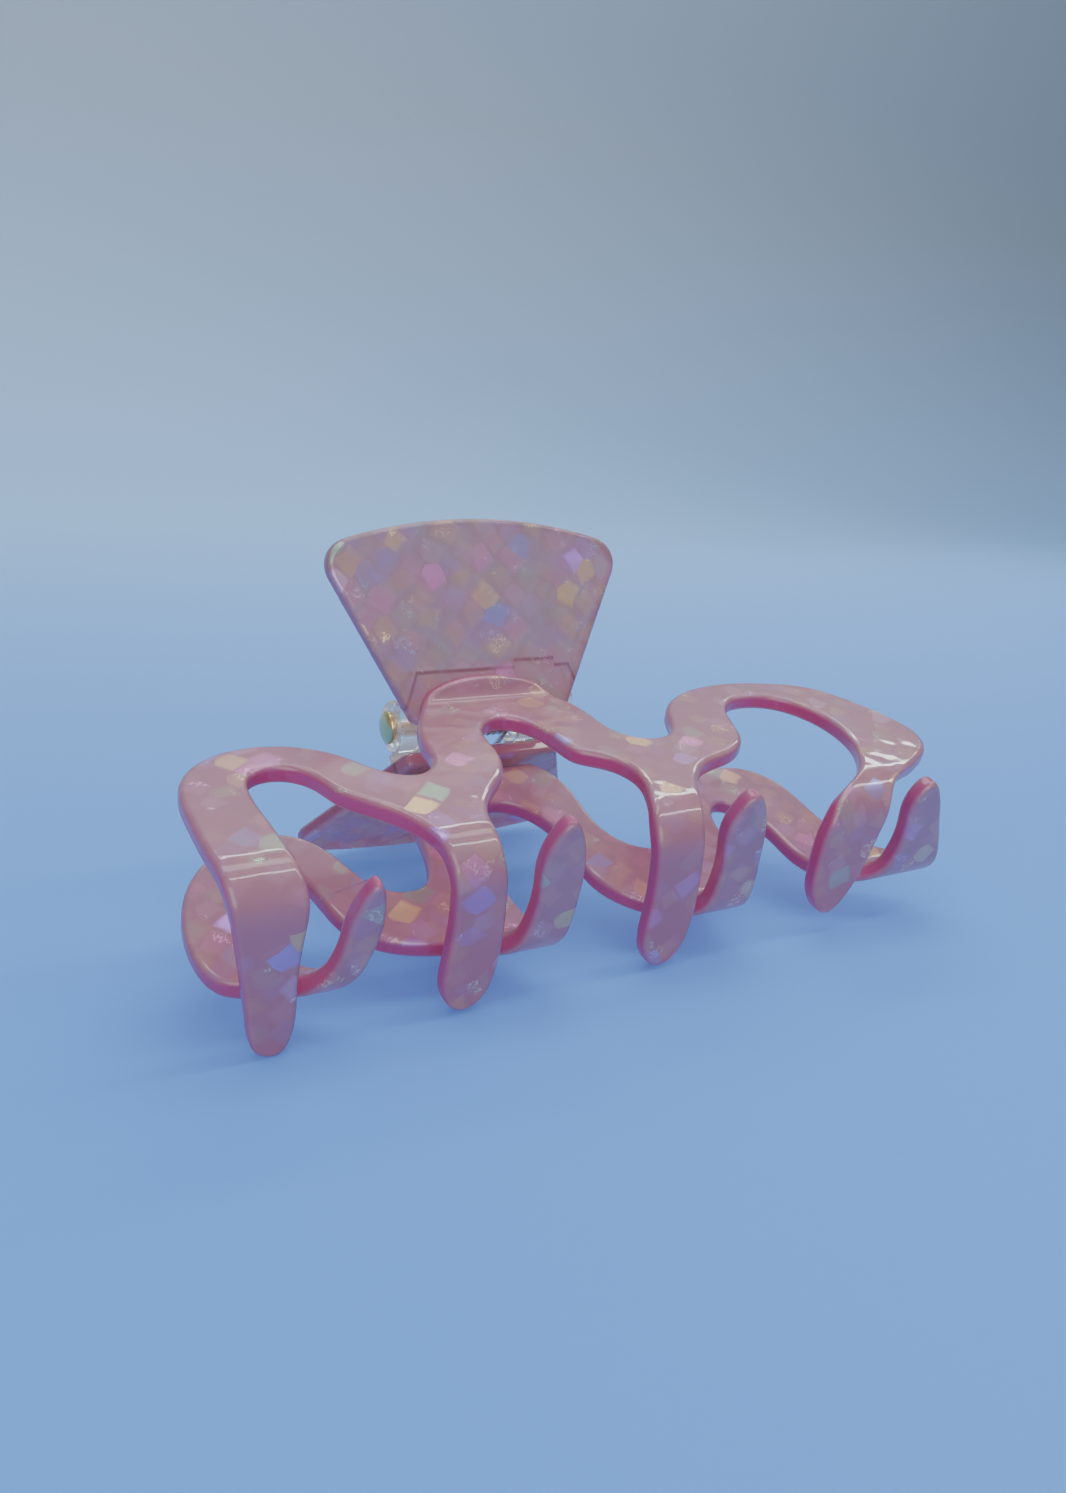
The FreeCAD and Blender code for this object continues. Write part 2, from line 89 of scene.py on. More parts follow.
FRONT_OUTLINE = [
    # left end, first arch, and the hollow before the first neck
    (-47.4, 20.0), (-46.6, 13.6), (-43.3, 9.2), (-37.5, 7.1), (-31.5, 8.2), (-27.2, 11.6), (-24.0, 15.8),
    (-20.6, 17.3), (-17.7, 15.0), (-16.6, 9.5), *LIP,
    # falling band, second neck and third arch
    (9.6, 7.0), (10.2, 11.5), (12.6, 14.3), (16.4, 14.5), (19.2, 12.0), (21.4, 7.8), (25.4, 3.8),
    (31.0, 1.4), (38.0, 0.7), (45.0, 1.8), (50.9, 4.4), (54.6, 9.8), (56.6, 15.8), (57.0, 20.6), (55.0, 25.0),
    # fourth tooth, slanting in
    (50.5, 28.2), (46.0, 30.4), (42.0, 32.8), (39.6, 38.0), (38.4, 43.7), (36.8, 48.0), (33.6, 51.2),
    (30.4, 48.5), (29.3, 43.0), (29.5, 37.8), (31.5, 33.6), (35.8, 30.6), (40.3, 26.9), (43.6, 22.4),
    # third bay
    (45.4, 16.5), (44.9, 11.0), (42.2, 7.0), (37.5, 5.7), (33.2, 7.0), (30.6, 10.2), (28.9, 14.4),
    (26.6, 18.4), (22.6, 20.9), (17.6, 22.6), (13.6, 26.0), (11.0, 30.5),
    # third tooth
    (9.6, 35.5), (9.9, 40.0), (10.3, 45.0), (9.9, 50.0), (8.2, 53.0), (5.9, 53.5), (4.0, 51.6), (3.4, 46.5),
    (3.2, 40.5), (2.7, 34.8), (3.8, 30.0),
    # second bay
    (5.9, 25.4), (6.4, 21.6), (4.6, 18.2), (1.9, 16.0), (0.9, 12.0), (-0.4, 7.6), (-3.0, 5.3),
    (-6.0, 6.2), (-7.9, 9.4), (-8.4, 14.0), (-10.3, 19.0), (-13.6, 22.8), (-16.2, 27.0),
    # second tooth
    (-17.0, 32.0), (-16.8, 37.5), (-16.4, 43.5), (-16.8, 49.6), (-18.3, 52.8), (-20.6, 53.6), (-22.6, 51.8),
    (-23.1, 47.5), (-22.8, 42.5), (-23.0, 38.0), (-23.6, 33.0),
    # first bay
    (-24.6, 28.2), (-27.2, 23.6), (-31.0, 18.8), (-32.8, 14.4), (-35.6, 12.5), (-38.8, 13.6),
    (-39.9, 17.2), (-39.6, 24.0), (-39.2, 30.5),
    # first tooth, the broadest
    (-38.7, 35.2), (-39.1, 40.0), (-39.5, 46.0), (-39.7, 51.4), (-41.1, 53.9), (-43.1, 53.6), (-44.4, 50.4),
    (-45.2, 44.5), (-46.2, 38.0), (-46.9, 32.0), (-47.3, 26.0),
]

REAR_OUTLINE = [
    # left end, first arch, and the hollow before the first neck
    (-47.6, 24.0), (-46.8, 17.5), (-43.8, 11.8), (-37.8, 7.8), (-32.2, 7.8), (-28.4, 11.4), (-26.2, 16.6),
    (-23.2, 20.4), (-19.6, 20.6), (-17.2, 17.2), (-16.0, 11.0), *LIP,
    # falling band, second neck and third arch
    (9.4, 7.4), (9.2, 13.2), (10.6, 17.8), (14.2, 20.4), (18.0, 19.6), (20.6, 16.0), (22.8, 11.4),
    (26.6, 7.8), (32.2, 6.0), (38.6, 5.8), (42.8, 8.8), (44.6, 14.4), (44.8, 20.5), (46.2, 25.4),
    (50.0, 28.2),
    # fourth tooth
    (53.4, 31.6), (53.8, 36.0), (52.2, 40.6), (49.8, 45.0), (47.6, 49.0), (44.8, 51.4), (42.8, 48.6),
    (43.6, 43.8), (43.8, 38.8), (41.8, 34.4), (38.2, 31.2), (35.4, 27.4), (34.8, 21.6),
    # third bay
    (33.6, 16.2), (30.8, 13.6), (28.2, 15.2), (26.6, 19.6), (24.4, 24.4), (21.8, 29.0),
    # third tooth
    (20.2, 33.5), (19.6, 38.5), (18.6, 44.0), (17.2, 49.6), (14.2, 53.6), (11.7, 50.0), (12.4, 44.5),
    (13.0, 39.0), (11.8, 34.4), (8.4, 31.0),
    # second bay
    (4.6, 27.4), (2.8, 22.8), (3.0, 17.6), (2.5, 12.8), (0.4, 8.8), (-3.0, 7.0), (-6.0, 8.2),
    (-7.7, 12.0), (-8.6, 17.0), (-9.4, 22.5), (-9.2, 28.0),
    # second tooth
    (-8.0, 33.0), (-7.3, 38.5), (-7.4, 44.0), (-8.4, 49.8), (-10.9, 53.6), (-13.2, 50.0), (-13.0, 44.0),
    (-13.2, 38.8), (-15.6, 33.4), (-20.0, 31.0),
    # first bay
    (-25.4, 29.2), (-29.6, 26.0), (-31.6, 21.0), (-33.0, 16.0), (-35.8, 13.4), (-38.6, 14.6),
    (-39.8, 18.8), (-39.2, 24.6), (-37.0, 29.4),
    # first tooth, a slim hook that rises beside the front one
    (-33.9, 34.0), (-31.7, 39.2), (-30.9, 44.6), (-32.2, 49.2), (-34.4, 45.6), (-35.2, 40.6),
    (-37.6, 35.4), (-41.4, 32.2), (-45.6, 30.0),
]


def world(points):
    """Hinge-frame points (x, u, v) in mm, laid down at the resting tilt about the pin, in metres."""
    x, u, v = np.asarray(points, float).T / 1000
    c, s = math.cos(REST_TILT), math.sin(REST_TILT)
    return np.stack([PIN.x + x, PIN.y - u * c - v * s, PIN.z - u * s + v * c], 1)


def world_direction(vectors):
    """The same turn without the shift, for normals."""
    return (world(vectors) - np.array(PIN)) * 1000


def closed_spline(points, spacing):
    """Points evenly spaced on the closed cubic spline through the given ones.

    The spline's parameter is the summed distance between points. Its second derivatives m solve, at every
    point, h0 m0 + 2 (h0 + h1) m1 + h1 m2 = 6 (slope after - slope before), taken round the loop.
    """
    p = np.array(points, float)
    n = len(p)
    h = np.linalg.norm(np.roll(p, -1, 0) - p, axis=1)
    slope = (np.roll(p, -1, 0) - p) / h[:, None]
    matrix = np.zeros((n, n))
    for k in range(n):
        matrix[k, k - 1] += h[k - 1]
        matrix[k, k] += 2 * (h[k - 1] + h[k])
        matrix[k, (k + 1) % n] += h[k]
    m = np.linalg.solve(matrix, 6 * (slope - np.roll(slope, 1, 0)))
    dense = []
    for k in range(n):
        a, b = p[k], p[(k + 1) % n]
        ma, mb = m[k], m[(k + 1) % n]
        t = np.linspace(0, h[k], 24, endpoint=False)[:, None]
        r = h[k] - t
        dense.append(
            ma * r ** 3 / (6 * h[k]) + mb * t ** 3 / (6 * h[k])
            + (a / h[k] - ma * h[k] / 6) * r + (b / h[k] - mb * h[k] / 6) * t
        )
    return even_loop(np.concatenate(dense), spacing)


def even_loop(loop, spacing):
    """The closed polyline resampled at even steps along its length."""
    closed = np.vstack([loop, loop[:1]])
    along = np.concatenate([[0], np.cumsum(np.linalg.norm(np.diff(closed, axis=0), axis=1))])
    count = int(round(along[-1] / spacing))
    at = np.arange(count) * along[-1] / count
    return np.stack([np.interp(at, along, closed[:, k]) for k in range(2)], 1)


def inward(loop):
    """Unit vectors square to the closed loop, pointing to its inside."""
    t = np.roll(loop, -1, 0) - np.roll(loop, 1, 0)
    t /= np.linalg.norm(t, axis=1)[:, None]
    x, y = loop.T
    area = np.sum(x * np.roll(y, -1) - np.roll(x, -1) * y)
    return np.stack([-t[:, 1], t[:, 0]], 1) * (1 if area > 0 else -1)


def edge_distance(points, loop):
    """Distance from each point to the nearest point of the loop."""
    found = np.empty(len(points))
    for k in range(0, len(points), 500):
        gap = points[k:k + 500, None, :] - loop[None, :, :]
        found[k:k + 500] = np.sqrt((gap ** 2).sum(2)).min(1)
    return found


def sheet_mesh(name, loop, place, thickness, edge_round, spacing=1.0):
    """A sheet with rounded edges. place(x, s) gives the outer face's points, normals and the run of s there.

    The face is the loop set in by the edge round and filled with a staggered grid. The edge is a quarter
    circle at each face: depth r (1 - cos a), inset r (1 - sin a), for a from 0 to 90 degrees, with a flat band
    between.
    Attribute "sheet" holds (x, s, depth) and "rim" is sin(a) cubed: 1 on the sawn edge and 0 on the faces.
    """
    n = len(loop)
    inside = inward(loop)
    turns = np.linspace(0, math.pi / 2, 7)
    layers = [(edge_round * (1 - math.cos(a)), edge_round * (1 - math.sin(a)), a) for a in turns]
    layers += [(thickness - d, i, math.pi - a) for d, i, a in reversed(layers)]
    top = loop + inside * edge_round
    low, high = loop.min(0), loop.max(0)
    grid = []
    for row, s in enumerate(np.arange(low[1], high[1], spacing * 0.866)):
        for x in np.arange(low[0] + (row % 2) * spacing / 2, high[0], spacing):
            grid.append((x, s))
    grid = np.array(grid)
    grid = grid[edge_distance(grid, top) > spacing * 0.45]
    edges = [(k, (k + 1) % n) for k in range(n)]
    flat = [Vector(p) for p in np.vstack([top, grid])]
    verts, _, triangles, origin, _, _ = delaunay_2d_cdt(flat, edges, [], 1, 1e-6)
    kept = np.array([v[:] for v in verts])
    source = np.array([o[0] if o else -1 for o in origin])
    used = sorted({k for t in triangles for k in t if source[k] >= n})
    cores = kept[used]
    count_rim = n * len(layers)
    number = {source[k]: source[k] for k in range(len(kept)) if 0 <= source[k] < n}
    front = {k: count_rim + j for j, k in enumerate(used)}
    back = {k: count_rim + len(used) + j for j, k in enumerate(used)}
    flat_points, depths, angles = [], [], []
    for depth, inset, angle in layers:
        flat_points.append(loop + inside * inset)
        depths.append(np.full(n, depth))
        angles.append(np.full(n, angle))
    flat_points += [cores, cores]
    depths += [np.zeros(len(cores)), np.full(len(cores), thickness)]
    angles += [np.zeros(len(cores)), np.full(len(cores), math.pi)]
    flat_points, depths, angles = np.vstack(flat_points), np.concatenate(depths), np.concatenate(angles)
    outer, normal, run = place(flat_points[:, 0], flat_points[:, 1])
    position = outer - normal * depths[:, None]
    out2 = np.zeros((len(flat_points), 2))
    out2[:count_rim] = np.tile(-inside, (len(layers), 1))
    sideways = out2[:, :1] * np.array([[1.0, 0, 0]]) + out2[:, 1:] * run
    normals = np.cos(angles)[:, None] * normal + np.sin(angles)[:, None] * sideways
    faces = []
    last = (len(layers) - 1) * n
    for t in triangles:
        ids = [source[k] for k in t]
        faces.append([i if i < n else front[k] for i, k in zip(ids, t)])
        faces.append([i + last if i < n else back[k] for i, k in zip(ids, t)])
    for layer in range(len(layers) - 1):
        a = layer * n
        for k in range(n):
            m = (k + 1) % n
            faces.append([a + k, a + m, a + n + m, a + n + k])
    rim = np.sin(angles) ** 3
    sheet = np.column_stack([flat_points, depths])
    return solid(name, world(position), world_direction(normals), faces, {"sheet": sheet, "rim": rim})


def solid(name, points, normals, faces, attributes=None):
    """A smooth-shaded mesh object with exact vertex normals; faces are turned to agree with them."""
    triangles = [f for f in faces if len(f) == 3]
    quads = [f for f in faces if len(f) == 4]
    turned = []
    for group in (triangles, quads):
        if not group:
            continue
        f = np.array(group)
        p = points[f]
        facing = np.cross(p[:, 1] - p[:, 0], p[:, -1] - p[:, 0])
        wrong = (facing * normals[f].sum(1)).sum(1) < 0
        f[wrong] = f[wrong][:, ::-1]
        turned += f.tolist()
    mesh = bpy.data.meshes.new(name)
    mesh.from_pydata(points.tolist(), [], turned)
    mesh.polygons.foreach_set("use_smooth", np.ones(len(turned), bool))
    for key, values in (attributes or {}).items():
        kind, field = ("FLOAT_VECTOR", "vector") if values.ndim == 2 else ("FLOAT", "value")
        mesh.attributes.new(key, kind, "POINT").data.foreach_set(field, values.astype(np.float32).ravel())
    length = np.maximum(np.linalg.norm(normals, axis=1), 1e-9)
    mesh.update()
    mesh.validate()
    mesh.normals_split_custom_set_from_vertices((normals / length[:, None]).tolist())
    obj = bpy.data.objects.new(name, mesh)
    bpy.context.scene.collection.objects.link(obj)
    return obj


def jaw_stretches():
    """Start point, heading and (length, radius) stretches of a jaw's outer face in (u, v)."""
    lip = HANDLE_ANGLE + math.pi
    half_turn = (PLATE_HEADING - lip) / 2
    half_bend = BEND_RADIUS * half_turn
    rise = BEND_HEIGHT + BEND_RADIUS * math.tan(half_turn) + LIP_LENGTH - half_bend
    distance = BACK + 2 * SHEET + WELD
    u = distance * math.sin(HANDLE_ANGLE) + rise * math.cos(HANDLE_ANGLE)
    v = -distance * math.cos(HANDLE_ANGLE) + rise * math.sin(HANDLE_ANGLE)
    stretches = [
        (LIP_LENGTH - half_bend, 0),
        (2 * half_bend, BEND_RADIUS),
        (PLATE_LENGTH - half_bend, 0),
        (FOLD_RADIUS * (PLATE_HEADING - TOOTH_HEADING), -FOLD_RADIUS),
        (TOOTH_LENGTH, 0),
    ]
    return (u, v, lip), stretches


def jaw_place(side):
    """place() for sheet_mesh: walks the bend profile, turning the heading along each round stretch."""
    (u, v, heading), stretches = jaw_stretches()
    pieces = []
    s0 = -LIP_LENGTH
    for length, radius in stretches:
        pieces.append((s0, u, v, heading, radius))
        if radius:
            turned = heading + length / radius
            u += radius * (math.sin(turned) - math.sin(heading))
            v -= radius * (math.cos(turned) - math.cos(heading))
            heading = turned
        else:
            u += length * math.cos(heading)
            v += length * math.sin(heading)
        s0 += length

    def place(x, s):
        points, headings = np.empty((len(s), 2)), np.empty(len(s))
        for number, (start, u, v, heading, radius) in enumerate(pieces):
            at = s >= start if number else np.full(len(s), True)
            d = s[at] - start
            turned = heading + d / radius if radius else np.full(len(d), heading)
            if radius:
                points[at, 0] = u + radius * (np.sin(turned) - math.sin(heading))
                points[at, 1] = v - radius * (np.cos(turned) - math.cos(heading))
            else:
                points[at, 0] = u + d * math.cos(heading)
                points[at, 1] = v + d * math.sin(heading)
            headings[at] = turned
        zero = np.zeros(len(s))
        outer = np.column_stack([x, points[:, 0], side * points[:, 1]])
        normal = np.column_stack([zero, -np.sin(headings), side * np.cos(headings)])
        run = np.column_stack([zero, np.cos(headings), side * np.sin(headings)])
        return outer, normal, run

    return place


front_loop = closed_spline(FRONT_OUTLINE, EDGE_STEP)
front_jaw = sheet_mesh("front_jaw_sheet", front_loop, jaw_place(1), SHEET, EDGE_ROUND)
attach(front_jaw, "front_half")
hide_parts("front_jaw")
rear_loop = closed_spline(REAR_OUTLINE, EDGE_STEP)
rear_jaw = sheet_mesh("rear_jaw_sheet", rear_loop, jaw_place(-1), SHEET, EDGE_ROUND)
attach(rear_jaw, "rear_half")
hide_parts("rear_jaw")


# ---- the handles ----
# Each handle is a fan of the same acetate sheet with its corners rounded. It stands behind the jaw's lip,
# which is solvent welded to its front. The hinge leaf is welded to its back.
HANDLE_MIDDLE = -0.8                 # x of the handle's middle
FOOT_HALF = 11.6                     # half widths, and heights above the foot
SHOULDER_HALF = 23.4
SHOULDER_HEIGHT = 23.6
CREST_HEIGHT = 27.5
FOOT_CORNER = 1.5
SHOULDER_CORNER = 3.6


def rounded_polygon(corners, spacing):
    """The closed polygon with each corner (x, y, r) turned into an arc of radius r touching both its sides."""
    loop = []
    n = len(corners)
    for k in range(n):
        p = np.array(corners[k][:2], float)
        r = corners[k][2]
        if r == 0:
            loop.append(p)
            continue
        a = np.array(corners[k - 1][:2]) - p
        b = np.array(corners[(k + 1) % n][:2]) - p
        a, b = a / np.linalg.norm(a), b / np.linalg.norm(b)
        half = math.acos(np.clip(a @ b, -1, 1)) / 2
        centre = p + (a + b) / np.linalg.norm(a + b) * r / math.sin(half)
        start, end = p + a * r / math.tan(half) - centre, p + b * r / math.tan(half) - centre
        turn = math.acos(np.clip(start @ end / r ** 2, -1, 1))
        for t in np.linspace(0, 1, 12):
            mixed = start * math.sin((1 - t) * turn) + end * math.sin(t * turn)
            loop.append(centre + mixed / math.sin(turn))
    return even_loop(np.array(loop), spacing)


def handle_place(side, front):
    """place() for a flat sheet parallel to the handle, its outer face at that distance from the pin."""
    up = np.array([math.cos(HANDLE_ANGLE), side * math.sin(HANDLE_ANGLE)])
    out = np.array([math.sin(HANDLE_ANGLE), -side * math.cos(HANDLE_ANGLE)])

    def place(x, h):
        uv = front * out[None, :] + h[:, None] * up[None, :]
        ones = np.ones(len(x))
        normal = np.column_stack([0 * ones, out[0] * ones, out[1] * ones])
        run = np.column_stack([0 * ones, up[0] * ones, up[1] * ones])
        return np.column_stack([x, uv]), normal, run

    return place


def handle_corners():
    """Foot, flared sides and an arc through the shoulders and the crest; (x, h, corner radius)."""
    rise = CREST_HEIGHT - SHOULDER_HEIGHT
    radius = (SHOULDER_HALF ** 2 + rise ** 2) / (2 * rise)
    reach = 0.76 * math.asin(SHOULDER_HALF / radius)
    corners = [
        (HANDLE_MIDDLE - FOOT_HALF, 0, FOOT_CORNER),
        (HANDLE_MIDDLE + FOOT_HALF, 0, FOOT_CORNER),
        (HANDLE_MIDDLE + SHOULDER_HALF, SHOULDER_HEIGHT, SHOULDER_CORNER),
    ]
    for t in np.linspace(reach, -reach, 25):
        drop = radius * (1 - math.cos(t))
        corners.append((HANDLE_MIDDLE + radius * math.sin(t), CREST_HEIGHT - drop, 0))
    return corners + [(HANDLE_MIDDLE - SHOULDER_HALF, SHOULDER_HEIGHT, SHOULDER_CORNER)]


for half, side in (("front", 1), ("rear", -1)):
    loop = rounded_polygon(handle_corners(), EDGE_STEP)
    handle = sheet_mesh(f"{half}_handle_sheet", loop, handle_place(side, BACK + SHEET), SHEET, EDGE_ROUND)
    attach(handle, f"{half}_half")
    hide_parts(f"{half}_handle")


# ---- acetate ----
# Milky tinted cellulose acetate with thin square flakes of iridescent film cast in it, flat in the sheet. The
# sawn edges carry no flakes and are painted a deeper pink: partly the sheet's own tint, partly painted glow of
# light carried along the sheet.
def link(tree, out, into):
    """Wires one socket to another."""
    tree.links.new(out, into)


def math_node(tree, operation, a, b=0.0):
    """a operation b, each a number or a socket."""
    made = tree.nodes.new("ShaderNodeMath")
    made.operation = operation
    for socket, value in zip(made.inputs, (a, b)):
        if isinstance(value, (int, float)):
            socket.default_value = value
        else:
            link(tree, value, socket)
    return made.outputs[0]


def vector_node(tree, operation, a, b=(0, 0, 0)):
    """a operation b on vectors; SCALE takes a number for b."""
    made = tree.nodes.new("ShaderNodeVectorMath")
    made.operation = operation
    if isinstance(a, (tuple, list)):
        made.inputs[0].default_value = a
    else:
        link(tree, a, made.inputs[0])
    if operation == "SCALE":
        if isinstance(b, (int, float)):
            made.inputs["Scale"].default_value = b
        else:
            link(tree, b, made.inputs["Scale"])
    elif isinstance(b, (tuple, list)):
        made.inputs[1].default_value = b
    else:
        link(tree, b, made.inputs[1])
    return made.outputs[0]


def mix_colour(tree, factor, a, b):
    """a to b by factor; colours are triples or sockets."""
    made = tree.nodes.new("ShaderNodeMix")
    made.data_type = "RGBA"
    made.clamp_factor = True
    for socket, value in ((made.inputs[0], factor), (made.inputs[6], a), (made.inputs[7], b)):
        if isinstance(value, (int, float)):
            socket.default_value = value
        elif isinstance(value, tuple):
            socket.default_value = (*value, 1.0)
        else:
            link(tree, value, socket)
    return made.outputs[2]


def ramp(tree, factor, stops, constant=False):
    """A colour ramp with stops (position, colour); a constant one steps from colour to colour."""
    made = tree.nodes.new("ShaderNodeValToRGB")
    made.color_ramp.interpolation = "CONSTANT" if constant else "LINEAR"
    elements = made.color_ramp.elements
    while len(elements) < len(stops):
        elements.new(1.0)
    for element, (position, colour) in zip(elements, stops):
        element.position = position
        element.color = (*colour, 1.0)
    link(tree, factor, made.inputs[0])
    return made.outputs[0]


def noise(tree, vector, scale, detail=2.0, output="Fac"):
    """Soft noise, about 0.5 on average; output "Color" gives three unlike noises at once."""
    made = tree.nodes.new("ShaderNodeTexNoise")
    made.inputs["Scale"].default_value = scale
    made.inputs["Detail"].default_value = detail
    link(tree, vector, made.inputs["Vector"])
    return made.outputs[output]


def smooth_step(tree, value, start, end):
    """0 where the value is past start, 1 where it is past end, and a smooth rise between."""
    made = tree.nodes.new("ShaderNodeMapRange")
    made.interpolation_type = "SMOOTHSTEP"
    made.inputs["From Min"].default_value = start
    made.inputs["From Max"].default_value = end
    link(tree, value, made.inputs["Value"])
    return made.outputs[0]


def mix_shader(tree, factor, a, b):
    """a to b by factor, a number or a socket."""
    made = tree.nodes.new("ShaderNodeMixShader")
    if isinstance(factor, float):
        made.inputs[0].default_value = factor
    else:
        link(tree, factor, made.inputs[0])
    link(tree, a, made.inputs[1])
    link(tree, b, made.inputs[2])
    return made.outputs[0]


# What the film shows by its hue: as a soft tint deep in the milk, and as a glint where it mirrors a light.
FILM = [
    (0.00, (0.62, 0.44, 0.24)),
    (0.15, (0.34, 0.28, 0.62)),
    (0.29, (0.62, 0.30, 0.44)),
    (0.44, (0.36, 0.42, 0.36)),
    (0.58, (0.62, 0.38, 0.30)),
    (0.72, (0.44, 0.24, 0.62)),
    (0.86, (0.60, 0.44, 0.56)),
]
GLINT = [
    (0.00, (1.00, 0.74, 0.30)),
    (0.15, (0.32, 0.36, 1.00)),
    (0.29, (0.95, 0.28, 0.80)),
    (0.44, (0.40, 0.72, 0.48)),
    (0.58, (1.00, 0.68, 0.36)),
    (0.72, (0.58, 0.28, 1.00)),
    (0.86, (0.90, 0.50, 0.85)),
]


def flake_layer(tree, where, pitch, crowd, blur):
    """One layer of square flakes: how far inside a flake each point is (0 to 1), and its random colour.

    A flake lies round the nearest point of a jittered grid, turned by a random angle: inside = 1 where the
    larger of its own 0.9 |x| and |y| is under its random half width, falling to 0 over the blur. The red and
    the blue part of the random colour are given too, for the flake's hue and its lean.
    """
    cell = tree.nodes.new("ShaderNodeTexVoronoi")
    cell.voronoi_dimensions = "2D"
    cell.inputs["Scale"].default_value = 1 / pitch
    cell.inputs["Randomness"].default_value = 0.62
    link(tree, where, cell.inputs["Vector"])
    pick = cell.outputs["Color"]
    parts = tree.nodes.new("ShaderNodeSeparateColor")
    link(tree, pick, parts.inputs[0])
    hue, chance, lean = parts.outputs
    local = tree.nodes.new("ShaderNodeVectorRotate")
    local.rotation_type = "Z_AXIS"
    link(tree, vector_node(tree, "SUBTRACT", where, cell.outputs["Position"]), local.inputs["Vector"])
    spin = math_node(tree, "MULTIPLY", math_node(tree, "SUBTRACT", chance, 0.5), 1.1)
    link(tree, spin, local.inputs["Angle"])
    axes = tree.nodes.new("ShaderNodeSeparateXYZ")
    link(tree, vector_node(tree, "ABSOLUTE", local.outputs[0]), axes.inputs[0])
    reach = math_node(tree, "MAXIMUM", math_node(tree, "MULTIPLY", axes.outputs[0], 0.9), axes.outputs[1])
    half_width = math_node(tree, "ADD", 0.34, math_node(tree, "MULTIPLY", lean, 0.14))
    past = math_node(tree, "SUBTRACT", reach, math_node(tree, "MULTIPLY", pitch, half_width))
    kept = math_node(tree, "LESS_THAN", chance, crowd)
    inside = math_node(tree, "MULTIPLY", smooth_step(tree, past, blur, -blur), kept)
    return inside, pick, hue, lean


LEAF_TOP = 7.2
TAB_MIDDLE, TAB_HALF = 6.2, 3.2      # the tab stands 1 mm above the top
LEAF_FOOT_HALF, LEAF_TAPER = 14.8, 0.41


def weld_patch(tree, sheet, colour):
    """The leaf behind, seen through the handle's foot: a deeper patch with a tab and a dark outline.

    gap is the distance in mm inside the leaf: the smaller of what is left to its stepped top and to its
    slanting side.
    """
    axes = tree.nodes.new("ShaderNodeSeparateXYZ")
    link(tree, sheet, axes.inputs[0])
    x, height = axes.outputs[0], axes.outputs[1]
    from_tab = math_node(tree, "ABSOLUTE", math_node(tree, "SUBTRACT", x, TAB_MIDDLE))
    top = math_node(tree, "ADD", LEAF_TOP, math_node(tree, "LESS_THAN", from_tab, TAB_HALF))
    side = math_node(tree, "SUBTRACT", LEAF_FOOT_HALF, math_node(tree, "MULTIPLY", height, LEAF_TAPER))
    to_top = math_node(tree, "SUBTRACT", top, height)
    to_side = math_node(tree, "SUBTRACT", side, math_node(tree, "ABSOLUTE", x))
    gap = math_node(tree, "MINIMUM", to_top, to_side)
    welded = math_node(tree, "GREATER_THAN", gap, 0.0)
    seam = smooth_step(tree, math_node(tree, "ABSOLUTE", math_node(tree, "SUBTRACT", gap, 0.25)), 0.42, 0.05)
    colour = mix_colour(tree, math_node(tree, "MULTIPLY", welded, 0.5), colour, (0.40, 0.19, 0.25))
    return mix_colour(tree, math_node(tree, "MULTIPLY", seam, 0.8), colour, (0.20, 0.06, 0.10))


FLAKE_TURN = math.radians(45)        # the flakes lie cornerwise in the sheet
WAVE_HEIGHT = 0.00016                # of the polished skin, in metres
PLASTIC_IOR = 1.48
SHADOW_SHARE = 0.85                  # of the light that passes, coloured, into a shadow


